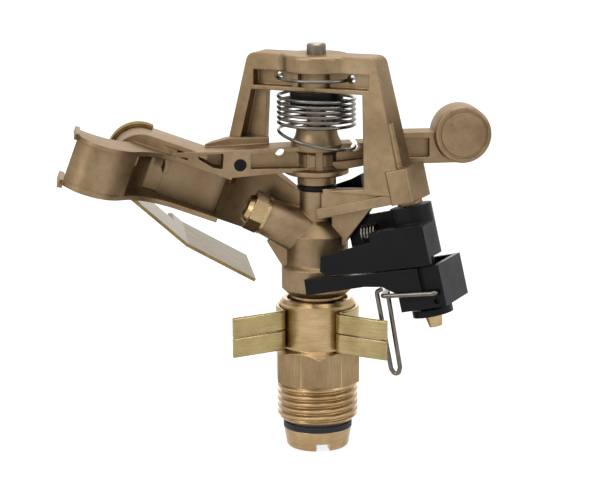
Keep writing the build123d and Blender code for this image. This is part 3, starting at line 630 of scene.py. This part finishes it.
def thread_radius(angle, level):
    """Radius in mm of the rounded V thread at an angle and a level above its lower end."""
    phase = (level / THREAD_PITCH - angle / math.tau) % 1.0
    slope = min(max((abs(2 * phase - 1) - 0.22) / 0.70, 0.0), 1.0)
    smooth = slope * slope * (3 - 2 * slope)
    radius = THREAD_R - THREAD_DEPTH * (0.35 * slope + 0.65 * smooth)
    lead = THREAD_R - THREAD_LEAD + level
    runout = SHOULDER - THREAD_RUNOUT
    if level > runout:
        fade = min((level - runout) / THREAD_RUNOUT, 1.0)
        radius = radius + (THREAD_R - 0.1 - radius) * fade
    return min(radius, lead)


def thread_ring(mesh, level, cut):
    """Ring of vertices at a level: on the thread where it is cut, else on the bore."""
    ring = []
    for column in range(THREAD_TURN_STEPS):
        angle = math.tau * column / THREAD_TURN_STEPS
        radius = thread_radius(angle, level) if cut else BORE_R
        ring.append(mesh.verts.new(at(radius * math.cos(angle), radius * math.sin(angle), level)))
    return ring


def thread_sleeve(mesh):
    """Add a closed sleeve with the thread on its outside and the plain bore inside."""
    top = SHOULDER + THREAD_OVERLAP
    rows = round(top / THREAD_LEVEL_STEP)
    outer = [thread_ring(mesh, top * row / rows, True) for row in range(rows + 1)]
    inner = [thread_ring(mesh, level, False) for level in (0, top)]
    loops = [inner[0]] + outer + [inner[1], inner[0]]
    for low, high in zip(loops[:-1], loops[1:]):
        for column in range(THREAD_TURN_STEPS):
            after = (column + 1) % THREAD_TURN_STEPS
            mesh.faces.new((low[column], low[after], high[after], high[column]))


def make_inlet():
    """The inlet: hexagon and spigot from the CAD solid, with a cut thread below the shoulder."""
    source = nodes["bearing_nipple"]
    mesh = bmesh.new()
    mesh.from_mesh(source.data)
    parts = mesh.verts[:] + mesh.edges[:] + mesh.faces[:]
    cut = bmesh.ops.bisect_plane(mesh, geom=parts, plane_co=at(0, 0, SHOULDER + 0.02), plane_no=(0, 0, 1),
                                 clear_inner=True)
    rim = [e for e in cut["geom_cut"] if isinstance(e, bmesh.types.BMEdge)]
    bmesh.ops.holes_fill(mesh, edges=rim, sides=0)
    for face in mesh.faces:
        middle = face.calc_center_median()
        upright = abs(face.normal.z) < 0.1
        outside = math.hypot(middle.x, middle.y) > HEX_INNER_R * MM
        face.material_index = 1 if upright and outside and middle.z < HEX_HIGH * MM else 0
    upper = len(mesh.faces)
    thread_sleeve(mesh)
    mesh.faces.ensure_lookup_table()
    for face in mesh.faces[upper:]:
        face.material_index = 2
    add_piece("threaded_inlet", mesh, [machined, drawn_bar, threaded], "base", "machined_brass",
              "bearing_nipple")


make_inlet()


# Floor, world and lamps: the background is white to what sees or mirrors it

FLOOR_TONE = 0.36
FLOOR_GLOW = 0.84
WORLD_LIGHT = 0.30
AIM = Vector((0, 0, 0.035))


def seen_or_mirrored(tree):
    """One for rays of the camera, of reflections and of transmission, else nought."""
    path = tree.nodes.new("ShaderNodeLightPath")
    seen = tree.nodes.new("ShaderNodeMath")
    seen.operation = "MAXIMUM"
    tree.links.new(path.outputs["Is Camera Ray"], seen.inputs[0])
    tree.links.new(path.outputs["Is Glossy Ray"], seen.inputs[1])
    also = tree.nodes.new("ShaderNodeMath")
    also.operation = "MAXIMUM"
    tree.links.new(seen.outputs[0], also.inputs[0])
    tree.links.new(path.outputs["Is Transmission Ray"], also.inputs[1])
    return also.outputs[0]


def stage_material():
    """Pale floor that keeps the object's shadow and glows to what sees it."""
    material = bpy.data.materials.new("pale_floor")
    material.use_nodes = True
    tree = material.node_tree
    tree.nodes.clear()
    out = tree.nodes.new("ShaderNodeOutputMaterial")
    diffuse = tree.nodes.new("ShaderNodeBsdfDiffuse")
    diffuse.inputs["Color"].default_value = (FLOOR_TONE, FLOOR_TONE, FLOOR_TONE, 1)
    glow = tree.nodes.new("ShaderNodeEmission")
    level = tree.nodes.new("ShaderNodeMath")
    level.operation = "MULTIPLY"
    tree.links.new(seen_or_mirrored(tree), level.inputs[0])
    level.inputs[1].default_value = FLOOR_GLOW
    tree.links.new(level.outputs[0], glow.inputs["Strength"])
    both = tree.nodes.new("ShaderNodeAddShader")
    tree.links.new(diffuse.outputs[0], both.inputs[0])
    tree.links.new(glow.outputs[0], both.inputs[1])
    tree.links.new(both.outputs[0], out.inputs["Surface"])
    return material


def make_stage():
    """Floor 0.2 mm below the sprinkler's lowest edge."""
    low = cad_box[0].z - 0.2 * MM
    reach = 6.0
    mesh = bpy.data.meshes.new("floor")
    corners = [(-reach, -reach, low), (reach, -reach, low), (reach, reach, low), (-reach, reach, low)]
    mesh.from_pydata(corners, [], [(0, 1, 2, 3)])
    floor = bpy.data.objects.new("floor", mesh)
    floor.data.materials.append(stage_material())
    scene.collection.objects.link(floor)


def make_world():
    """White surroundings that light the object at a plain level."""
    world = bpy.data.worlds.new("studio")
    scene.world = world
    world.use_nodes = True
    tree = world.node_tree
    back = tree.nodes["Background"]
    level = tree.nodes.new("ShaderNodeMapRange")
    level.inputs["To Min"].default_value = WORLD_LIGHT
    level.inputs["To Max"].default_value = 1.0
    tree.links.new(seen_or_mirrored(tree), level.inputs["Value"])
    tree.links.new(level.outputs["Result"], back.inputs["Strength"])
    back.inputs["Color"].default_value = (1, 1, 1, 1)


def lamp(name, place, size, power):
    """Square softbox that faces the sprinkler."""
    data = bpy.data.lights.new(name, "AREA")
    data.shape = "SQUARE"
    data.size = size
    data.energy = power
    piece = bpy.data.objects.new(name, data)
    spot = Vector(place)
    piece.location = spot
    piece.rotation_euler = (AIM - spot).to_track_quat("-Z", "Y").to_euler()
    scene.collection.objects.link(piece)


make_stage()
make_world()
lamp("top_softbox", (0.05, -0.1, 1.0), 0.7, 6.0)
lamp("left_softbox", (-0.8, -0.6, 0.6), 0.5, 5.0)
lamp("right_softbox", (0.8, -0.5, 0.5), 0.4, 2.5)
lamp("back_softbox", (0.1, 1.0, 0.40), 1.0, 3.5)
scene.view_settings.view_transform = "Standard"
